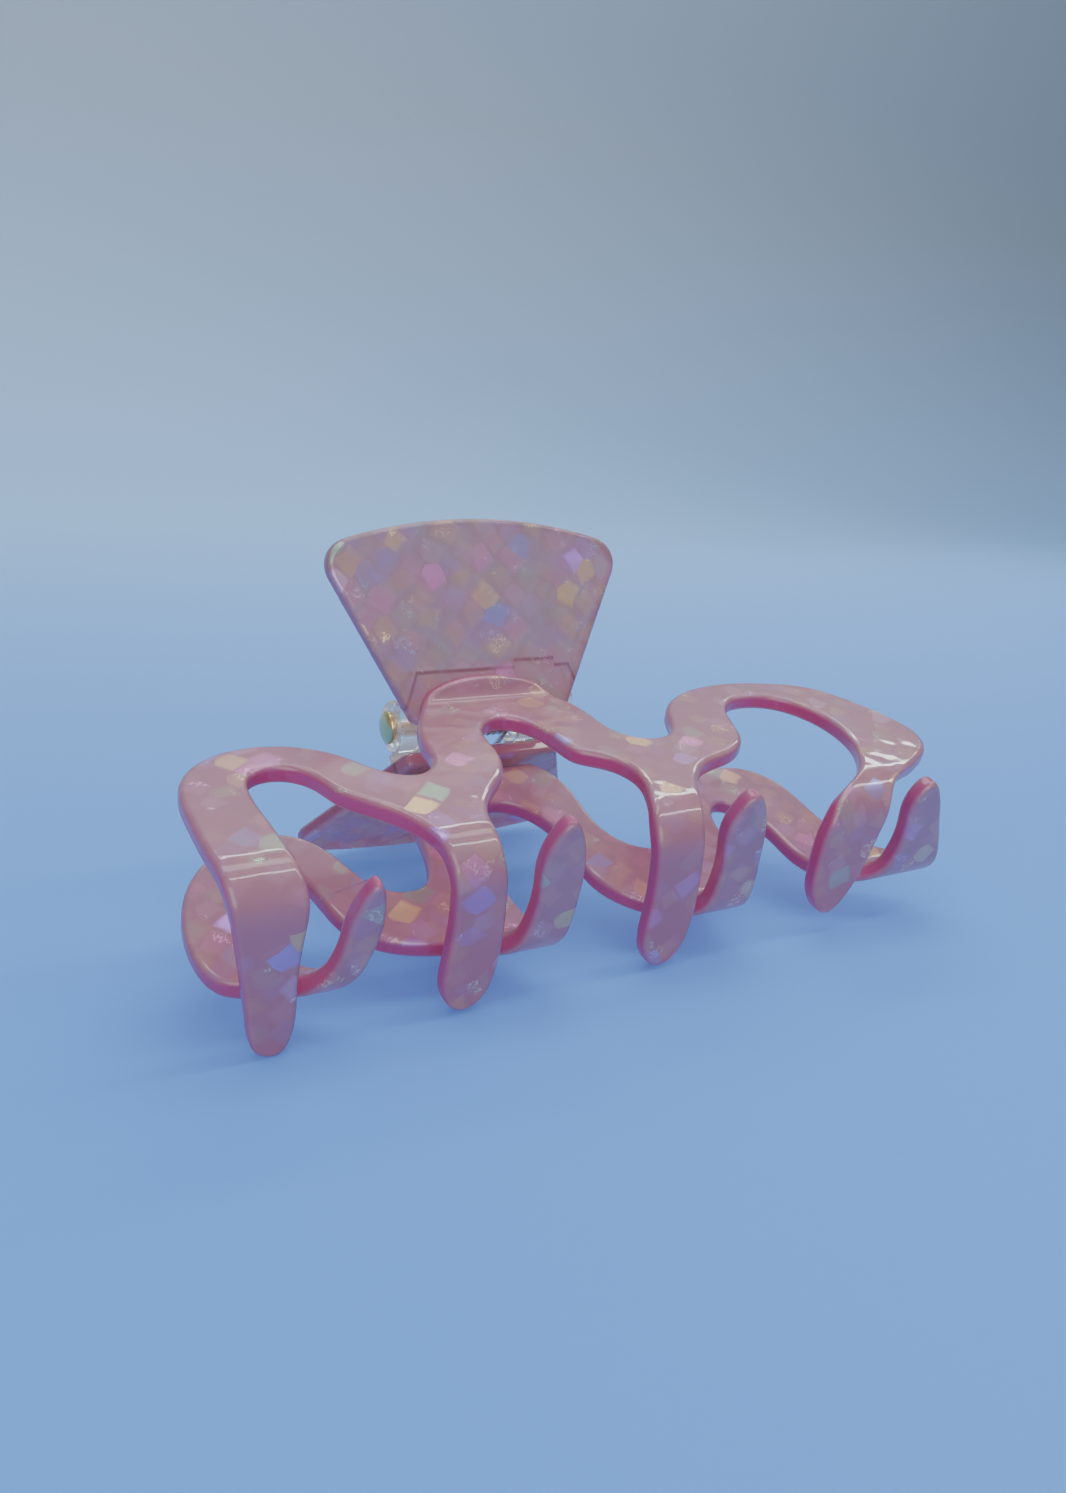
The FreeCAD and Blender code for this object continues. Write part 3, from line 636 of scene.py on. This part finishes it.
def acetate(name, face, edge, pitch, crowd, tint, clear, through, weld=False):
    """Flaked acetate: a tinted milk, two layers of flakes, crumpled ones that glitter, partly with painted
    near-white glints, and a wavy skin.

    face, edge: colours of the milk on the faces and at the sawn edge; the edge's deeper pink is partly painted
    glow
    of light carried along the sheet. pitch: mm between flakes. crowd: share of flakes seen. tint: their
    strength.
    clear: share of the light let straight through, coloured by through, which also colours the shadow. weld:
    the leaf behind shows at the foot.
    """
    material = bpy.data.materials.new(name)
    material.use_nodes = True
    tree = material.node_tree
    tree.nodes.clear()
    sheet_node = tree.nodes.new("ShaderNodeAttribute")
    sheet_node.attribute_name = "sheet"
    sheet = sheet_node.outputs["Vector"]
    rim_node = tree.nodes.new("ShaderNodeAttribute")
    rim_node.attribute_name = "rim"
    rim = rim_node.outputs["Fac"]
    off_rim = math_node(tree, "SUBTRACT", 1.0, rim)

    turned = tree.nodes.new("ShaderNodeVectorRotate")
    turned.inputs["Angle"].default_value = FLAKE_TURN
    link(tree, sheet, turned.inputs["Vector"])
    stir = vector_node(tree, "SUBTRACT", noise(tree, sheet, 0.35, 1.0, "Color"), (0.5, 0.5, 0.5))
    where = vector_node(tree, "ADD", turned.outputs[0], vector_node(tree, "SCALE", stir, 0.9))
    beneath = vector_node(tree, "ADD", where, (17.3, 4.1, 0))
    deep, _, deep_hue, _ = flake_layer(tree, beneath, pitch * 0.9, crowd, 0.5)
    near, pick, hue, lean = flake_layer(tree, where, pitch, crowd, 0.42)
    near = math_node(tree, "MULTIPLY", near, off_rim)
    deep = math_node(tree, "MULTIPLY", deep, off_rim)
    bright = math_node(tree, "POWER", lean, 6.0)

    cloud = math_node(tree, "MULTIPLY", noise(tree, sheet, 0.16, 3.0), 0.6)
    colour = mix_colour(tree, cloud, face, tuple(0.80 * c for c in face))
    # The rounded edges turn to the edge colour: the sheet's deeper tint plus painted glow of light carried
    # along it.
    colour = mix_colour(tree, math_node(tree, "POWER", rim, 1.6), colour, edge)
    deep_film = ramp(tree, deep_hue, FILM, constant=True)
    colour = mix_colour(tree, math_node(tree, "MULTIPLY", deep, tint), colour, deep_film)
    strength = math_node(tree, "ADD", tint, math_node(tree, "MULTIPLY", bright, 0.2))
    film = ramp(tree, hue, FILM, constant=True)
    colour = mix_colour(tree, math_node(tree, "MULTIPLY", near, strength), colour, film)
    if weld:
        colour = weld_patch(tree, sheet, colour)
    fold = math_node(tree, "ABSOLUTE", math_node(tree, "SUBTRACT", noise(tree, sheet, 1.1, 3.0), 0.5))
    crease = math_node(tree, "LESS_THAN", fold, 0.022)
    aside = vector_node(tree, "ADD", sheet, (31.0, 7.0, 0))
    crumpled = math_node(tree, "GREATER_THAN", noise(tree, aside, 0.30, 1.0), 0.60)
    glitter = math_node(tree, "MULTIPLY", math_node(tree, "MULTIPLY", near, crease), crumpled)
    # Painted glints: crumpled flakes are painted near white along their creases, beside the metallic sheen
    # mixed in below.
    colour = mix_colour(tree, math_node(tree, "MULTIPLY", glitter, 0.45), colour, (0.90, 0.84, 0.80))

    wave = tree.nodes.new("ShaderNodeBump")
    wave.inputs["Strength"].default_value = 0.7
    wave.inputs["Distance"].default_value = WAVE_HEIGHT
    link(tree, noise(tree, sheet, 0.22, 1.0), wave.inputs["Height"])
    tilt = vector_node(tree, "SUBTRACT", pick, (0.5, 0.5, 0.5))
    tilt = vector_node(tree, "SCALE", tilt, math_node(tree, "MULTIPLY", near, 0.42))
    flake_normal = vector_node(tree, "NORMALIZE", vector_node(tree, "ADD", wave.outputs[0], tilt))

    milk = tree.nodes.new("ShaderNodeBsdfPrincipled")
    link(tree, colour, milk.inputs["Base Color"])
    milk.inputs["Roughness"].default_value = 0.38
    milk.inputs["IOR"].default_value = PLASTIC_IOR
    flake = tree.nodes.new("ShaderNodeBsdfPrincipled")
    link(tree, ramp(tree, hue, GLINT, constant=True), flake.inputs["Base Color"])
    link(tree, flake_normal, flake.inputs["Normal"])
    flake.inputs["Metallic"].default_value = 1.0
    flake.inputs["Roughness"].default_value = 0.32
    for polished in (milk, flake):
        polished.inputs["Coat Weight"].default_value = 1.0
        polished.inputs["Coat Roughness"].default_value = 0.04
        polished.inputs["Coat IOR"].default_value = PLASTIC_IOR
        link(tree, wave.outputs[0], polished.inputs["Coat Normal"])
    glow = tree.nodes.new("ShaderNodeBsdfTranslucent")
    link(tree, mix_colour(tree, 0.2, colour, edge), glow.inputs["Color"])
    body = mix_shader(tree, 0.28, milk.outputs[0], glow.outputs[0])
    shine = math_node(tree, "ADD", 0.02, math_node(tree, "MULTIPLY", bright, 0.42))
    shine = math_node(tree, "MULTIPLY", near, shine)
    shine = math_node(tree, "MAXIMUM", shine, math_node(tree, "MULTIPLY", glitter, 0.4))
    body = mix_shader(tree, shine, body, flake.outputs[0])

    passing = tree.nodes.new("ShaderNodeBsdfTransparent")
    passing.inputs[0].default_value = (*through, 1)
    behind_flake = math_node(tree, "SUBTRACT", 1.0, math_node(tree, "MULTIPLY", near, 0.5))
    share = math_node(tree, "MULTIPLY", behind_flake, math_node(tree, "MULTIPLY", off_rim, clear))
    share = math_node(tree, "MAXIMUM", share, shadow_share(tree))
    out = tree.nodes.new("ShaderNodeOutputMaterial")
    link(tree, mix_shader(tree, share, body, passing.outputs[0]), out.inputs[0])
    return material


def shadow_share(tree):
    """SHADOW_SHARE for light on its way to a shadow, and 0 for all other light."""
    ray = tree.nodes.new("ShaderNodeLightPath")
    return math_node(tree, "MULTIPLY", ray.outputs["Is Shadow Ray"], SHADOW_SHARE)


CAST_SHADE = (1.0, 0.70, 0.76)
# Each edge colour is a deeper pink than its face, partly painted glow of light carried along the sheet.
jaw_acetate = acetate("jaw_acetate", (0.44, 0.205, 0.27), (0.48, 0.07, 0.215), pitch=3.1, crowd=0.50,
                      tint=0.15, clear=0.04, through=CAST_SHADE)
# The rear jaw is the same acetate as the front; its face and edge are painted less red to offset the pink
# light bounced round inside its hollow.
rear_acetate = acetate("rear_acetate", (0.40, 0.22, 0.295), (0.45, 0.08, 0.22), pitch=3.1, crowd=0.58,
                       tint=0.17, clear=0.04, through=CAST_SHADE)
handle_acetate = acetate("handle_acetate", (0.42, 0.255, 0.275), (0.34, 0.10, 0.18), pitch=3.4, crowd=0.90,
                         tint=0.23, clear=0.34, through=(1.0, 0.85, 0.88), weld=True)
for name, material in (
    ("front_jaw_sheet", jaw_acetate), ("rear_jaw_sheet", rear_acetate),
    ("front_handle_sheet", handle_acetate), ("rear_handle_sheet", handle_acetate),
):
    bpy.data.objects[name].data.materials.append(material)


# ---- the pin ----
# A soft brass rivet, plated gold. It is pushed through the four knuckles and its end is spread into a second
# dome.
def revolved(name, profile, normals, segments=64):
    """Turns the profile (x, r) about the pin's axis; a point with r = 0 closes the surface as a pole."""
    points, out, faces = [], [], []
    rows = []
    for (x, r), (nx, nr) in zip(profile, normals):
        if r == 0:
            rows.append([len(points)])
            points.append((x, 0, 0))
            out.append((nx, 0, 0))
            continue
        rows.append(list(range(len(points), len(points) + segments)))
        for k in range(segments):
            a = 2 * math.pi * k / segments
            points.append((x, r * math.cos(a), r * math.sin(a)))
            out.append((nx, nr * math.cos(a), nr * math.sin(a)))
    for a, b in zip(rows, rows[1:]):
        for k in range(segments):
            m = (k + 1) % segments
            if len(a) == 1:
                faces.append([a[0], b[k], b[m]])
            elif len(b) == 1:
                faces.append([a[k], a[m], b[0]])
            else:
                faces.append([a[k], a[m], b[m], b[k]])
    return solid(name, world(points), world_direction(out), faces)


def pin_half():
    """Rod, flat under the head, rolled rim, then a dome: x = rim + rise sin a, r = head cos a."""
    end, rim, rise, head, rod = 13.55, 0.42, 0.78, 2.3, 1.0
    profile = [(0, rod), (end, rod), (end, rod), (end, head - 0.12)]
    profile += [(end + 0.04, head - 0.03), (end + 0.12, head)]
    normals = [(0, 1), (0, 1), (-1, 0), (-1, 0), (-0.7, 0.7), (0, 1)]
    for k in range(0, 17):
        a = math.pi / 2 * k / 16
        r = head * math.cos(a) if k < 16 else 0.0
        profile.append((end + rim + rise * math.sin(a), r))
        normals.append((math.sin(a) / rise, math.cos(a) / head))
    return profile, normals


profile, normals = pin_half()
mirror_profile = [(-x, r) for x, r in reversed(profile[1:])]
mirror_normals = [(-nx, nr) for nx, nr in reversed(normals[1:])]
hinge_pin = revolved("hinge_pin_rivet", mirror_profile + profile[1:], mirror_normals + normals[1:])
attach(hinge_pin, "rear_half")
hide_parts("hinge_pin")


def grained(name, colour, rough, grain, scale):
    """A material whose roughness rises from rough by up to grain, in a fine grain of that scale per metre."""
    material = bpy.data.materials.new(name)
    material.use_nodes = True
    tree = material.node_tree
    shader = tree.nodes["Principled BSDF"]
    place = tree.nodes.new("ShaderNodeTexCoord")
    fine = math_node(tree, "MULTIPLY", noise(tree, place.outputs["Object"], scale), grain)
    link(tree, math_node(tree, "ADD", rough, fine), shader.inputs["Roughness"])
    shader.inputs["Base Color"].default_value = (*colour, 1)
    return material, tree, shader


gold, _, gold_shader = grained("gold", (0.83, 0.62, 0.27), 0.14, 0.16, 900.0)
gold_shader.inputs["Metallic"].default_value = 1.0
hinge_pin.data.materials.append(gold)


# ---- the spring ----
# Bright steel wire 0.8 mm thick: eight turns round the pin between the inner knuckles, and a straight leg at
# each end that lies on the inside of a leaf. It winds up as the handles are squeezed.
WIRE_RADIUS = 0.4
COIL_RADIUS = 2.0
COIL_TURNS = 8
COIL_PITCH = 0.94
LEG_LENGTH = 6.2
LEG_LEAN = math.radians(30)
COIL_ANGLE = 2 * math.pi * COIL_TURNS + 2 * LEG_LEAN
COIL_WIDTH = COIL_PITCH * COIL_ANGLE / (2 * math.pi)


def wire_path():
    """Leg, helix and leg. The helix falls from +30 to -30 degrees, with eight whole turns on top."""
    radius = COIL_RADIUS
    leg = []
    for up in np.linspace(LEG_LENGTH, WIRE_RADIUS, 8):
        u = radius * math.cos(LEG_LEAN) - up * math.sin(LEG_LEAN)
        v = radius * math.sin(LEG_LEAN) + up * math.cos(LEG_LEAN)
        leg.append((-COIL_WIDTH / 2, u, v))
    coil = []
    for t in np.linspace(0, 1, 40 * COIL_TURNS + 1):
        turn = LEG_LEAN - COIL_ANGLE * t
        coil.append((COIL_WIDTH * (t - 0.5), radius * math.cos(turn), radius * math.sin(turn)))
    other_leg = [(-x, u, -v) for x, u, v in reversed(leg)]
    return np.array(leg + coil + other_leg)


def tube(name, path, radius, segments=14):
    """Rings carried along the path without twist, with a domed cap at each end."""
    t = np.gradient(path, axis=0)
    t /= np.linalg.norm(t, axis=1)[:, None]
    side = np.cross(t[0], (1.0, 0, 0))
    side /= np.linalg.norm(side)
    points, normals = [path[0] - t[0] * radius * 0.5], [-t[0]]
    for p, d in zip(path, t):
        side = side - d * (side @ d)
        side /= np.linalg.norm(side)
        other = np.cross(d, side)
        for k in range(segments):
            a = 2 * math.pi * k / segments
            n = side * math.cos(a) + other * math.sin(a)
            points.append(p + n * radius)
            normals.append(n)
    points.append(path[-1] + t[-1] * radius * 0.5)
    normals.append(t[-1])
    faces = []
    end = len(points) - 1
    for k in range(segments):
        m = (k + 1) % segments
        faces.append([0, 1 + k, 1 + m])
        faces.append([end, end - segments + m, end - segments + k])
        for row in range(len(path) - 1):
            a = 1 + row * segments
            faces.append([a + k, a + m, a + segments + m, a + segments + k])
    return solid(name, world(points), world_direction(normals), faces)


spring = tube("hinge_spring_wire", wire_path(), WIRE_RADIUS)
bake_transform(spring)
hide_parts("hinge_spring")
steel, _, steel_shader = grained("spring_steel", (0.62, 0.62, 0.61), 0.16, 0.16, 1500.0)
steel_shader.inputs["Metallic"].default_value = 1.0
spring.data.materials.append(steel)


# ---- the hinge leaves ----
# Two clear polycarbonate mouldings, each a plate on the back of its handle with two knuckles for the pin.
clear, clear_tree, clear_shader = grained("clear_plastic", (0.93, 0.97, 0.93), 0.03, 0.08, 300.0)
clear_shader.inputs["Transmission Weight"].default_value = 0.84
clear_shader.inputs["IOR"].default_value = 1.5
clear_pass = clear_tree.nodes.new("ShaderNodeBsdfTransparent")
clear_pass.inputs[0].default_value = (0.96, 0.98, 0.96, 1)
clear_share = shadow_share(clear_tree)
clear_mix = mix_shader(clear_tree, clear_share, clear_shader.outputs[0], clear_pass.outputs[0])
link(clear_tree, clear_mix, clear_tree.nodes["Material Output"].inputs[0])
for name in ("front_hinge_leaf", "rear_hinge_leaf"):
    leaf = frame["nodes"][name]
    leaf.data.materials.clear()
    leaf.data.materials.append(clear)


# ---- the table and the light ----
# A sheet of blue matt card, bent up behind the clip, lit by soft boxes in a pale room. It is staging only.
def stage_sweep():
    """A seamless sheet of card in metres: flat under the clip, then a quarter circle up to a wall."""
    near, bend, radius, top, half_width = -1.2, 0.55, 0.5, 2.2, 2.0
    profile = [(near, 0.0)]
    for k in range(25):
        a = math.pi / 2 * k / 24
        profile.append((bend + radius * math.sin(a), radius - radius * math.cos(a)))
    profile.append((bend + radius, top))
    points, faces = [], []
    for y, z in profile:
        points += [(-half_width, y, z), (half_width, y, z)]
    for k in range(len(profile) - 1):
        faces.append([2 * k, 2 * k + 1, 2 * k + 3, 2 * k + 2])
    mesh = bpy.data.meshes.new("table")
    mesh.from_pydata(points, [], faces)
    mesh.polygons.foreach_set("use_smooth", np.ones(len(faces), bool))
    obj = bpy.data.objects.new("table", mesh)
    bpy.context.scene.collection.objects.link(obj)
    return obj


table = stage_sweep()
card = bpy.data.materials.new("card")
card.use_nodes = True
card_tree = card.node_tree
card_shader = card_tree.nodes["Principled BSDF"]
card_place = card_tree.nodes.new("ShaderNodeTexCoord")
card_axes = card_tree.nodes.new("ShaderNodeSeparateXYZ")
link(card_tree, card_place.outputs["Object"], card_axes.inputs[0])
# The card's blue is painted to change with depth and height along the sweep, deep in front, palest near the
# bend and greyer up the wall: painted falloff of the light.
card_far = math_node(card_tree, "MULTIPLY", card_axes.outputs[1], 0.5)
card_falloff_height = math_node(card_tree, "ADD", card_far, card_axes.outputs[2])
CARD_BLUE_AND_FALLOFF = [(0.0, (0.10, 0.33, 0.86)), (0.30, (0.33, 0.60, 0.98)), (0.9, (0.38, 0.47, 0.56))]
card_blue_and_falloff = ramp(card_tree, card_falloff_height, CARD_BLUE_AND_FALLOFF)
link(card_tree, card_blue_and_falloff, card_shader.inputs["Base Color"])
card_shader.inputs["Roughness"].default_value = 0.75
table.data.materials.append(card)

world_light = bpy.data.worlds.new("room")
world_light.use_nodes = True
world_light.node_tree.nodes["Background"].inputs[0].default_value = (0.84, 0.90, 1.0, 1)
world_light.node_tree.nodes["Background"].inputs[1].default_value = 0.38
bpy.context.scene.world = world_light


def softbox(name, place, target, size, power, colour):
    """An oblong area light turned to a point, its first side kept level along X."""
    data = bpy.data.lights.new(name, "AREA")
    data.shape = "RECTANGLE"
    data.size, data.size_y = size
    data.energy = power
    data.color = colour
    obj = bpy.data.objects.new(name, data)
    bpy.context.scene.collection.objects.link(obj)
    obj.location = place
    obj.rotation_mode = "QUATERNION"
    back = (Vector(place) - Vector(target)).normalized()
    level = (Vector((1, 0, 0)) - back * back.x).normalized()
    obj.rotation_quaternion = Matrix((level, back.cross(level), back)).transposed().to_quaternion()
    return obj


# The two strips draw the pair of bright lines across each fold; the others are broad and soft.
softbox("strip_near", (0.28, -0.17, 0.55), (0, 0, 0), (0.66, 0.045), 1.5, (1.0, 0.98, 0.97))
softbox("strip_far", (0.36, 0.44, 0.55), (0, 0, 0), (0.74, 0.045), 1.6, (1.0, 0.98, 0.97))
softbox("front", (-0.45, -0.85, 0.50), (0, 0, 0), (1.0, 0.8), 7.0, (1.0, 0.96, 0.96))
softbox("overhead", (-0.20, 0.15, 0.80), (0, 0, 0), (0.9, 0.6), 0.3, (1.0, 0.98, 0.97))
softbox("backdrop", (0.0, 0.25, 1.5), (0.0, 1.05, 0.35), (1.6, 0.5), 11.5, (0.97, 0.98, 1.0))


# ---- the camera ----
camera_data = bpy.data.cameras.new("camera")
camera = bpy.data.objects.new("camera", camera_data)
bpy.context.scene.collection.objects.link(camera)
bpy.context.scene.camera = camera
camera_data.sensor_width = 36.0
camera_data.lens = 27.03014
camera_data.clip_start, camera_data.clip_end = 0.01, 20
camera.location = world([(-71.8, 122.2, 74.3)])[0]
ahead = Vector(world_direction([(0.4892, -0.7302, -0.4770)])[0]).normalized()
right = Vector(world_direction([(0.8674, 0.4643, 0.1790)])[0]).normalized()
above = right.cross(ahead).normalized()
camera.rotation_mode = "QUATERNION"
camera.rotation_quaternion = Matrix((right, above, -ahead)).transposed().to_quaternion()
